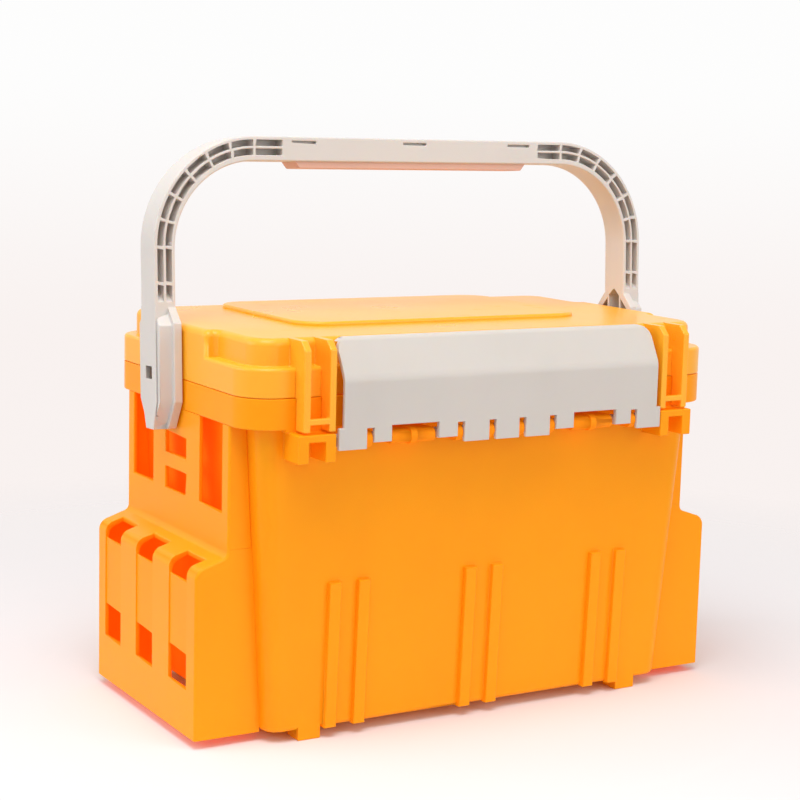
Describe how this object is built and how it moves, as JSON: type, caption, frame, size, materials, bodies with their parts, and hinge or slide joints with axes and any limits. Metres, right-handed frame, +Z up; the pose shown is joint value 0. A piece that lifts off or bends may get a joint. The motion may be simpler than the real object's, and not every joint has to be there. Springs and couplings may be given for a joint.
{
  "type": "tackle box",
  "caption": "Rectangular plastic tackle box with a hinged lid, wide front latch, folding carrying handle, side accessory sockets and a divided lift-out tray.",
  "frame": {"origin": "on the floor under the middle of the box", "axes": "+X along the width towards the right-hand socket, +Y towards the lid hinges with the latch on -Y, +Z up"},
  "size_m": [0.434, 0.264, 0.4119],
  "materials": {
    "orange_plastic": "satin moulded",
    "grey_plastic": "fine matt moulded",
    "pin_steel": "turned",
    "washer_plastic": "plain moulded",
    "tray_plastic": "plain moulded"
  },
  "bodies": {
    "box": {"tub": "orange_plastic", "left_window_panel": "orange_plastic", "right_window_panel": "orange_plastic", "left_socket": "orange_plastic", "right_socket": "orange_plastic", "latch_hinge_pin": "pin_steel", "left_lid_hinge_pin": "pin_steel", "right_lid_hinge_pin": "pin_steel", "left_pivot_pin": "pin_steel", "right_pivot_pin": "pin_steel", "left_pivot_washer": "washer_plastic", "right_pivot_washer": "washer_plastic", "lift_out_tray": "tray_plastic", "tray_divider_1": "tray_plastic", "tray_divider_2": "tray_plastic", "tray_divider_3": "tray_plastic", "floor_divider_1": "tray_plastic", "floor_divider_2": "tray_plastic"},
    "lid": {"lid": "orange_plastic"},
    "latch": {"latch": "grey_plastic"},
    "handle": {"handle": "grey_plastic", "handle_grip": "grey_plastic"}
  },
  "joints": [
    {"name": "lid_hinge", "type": "hinge", "parent": "box", "child": "lid", "pos_m": [0, 0.125, 0.24], "axis": [-1, 0, 0], "range_deg": [0, 26]},
    {"name": "latch_hinge", "type": "hinge", "parent": "box", "child": "latch", "pos_m": [0, -0.125, 0.214], "axis": [1, 0, 0], "range_deg": [0, 110]},
    {"name": "handle_fold", "type": "hinge", "parent": "box", "child": "handle", "pos_m": [0, 0.008, 0.231], "axis": [-1, 0, 0], "range_deg": [0, 105]}
  ]
}
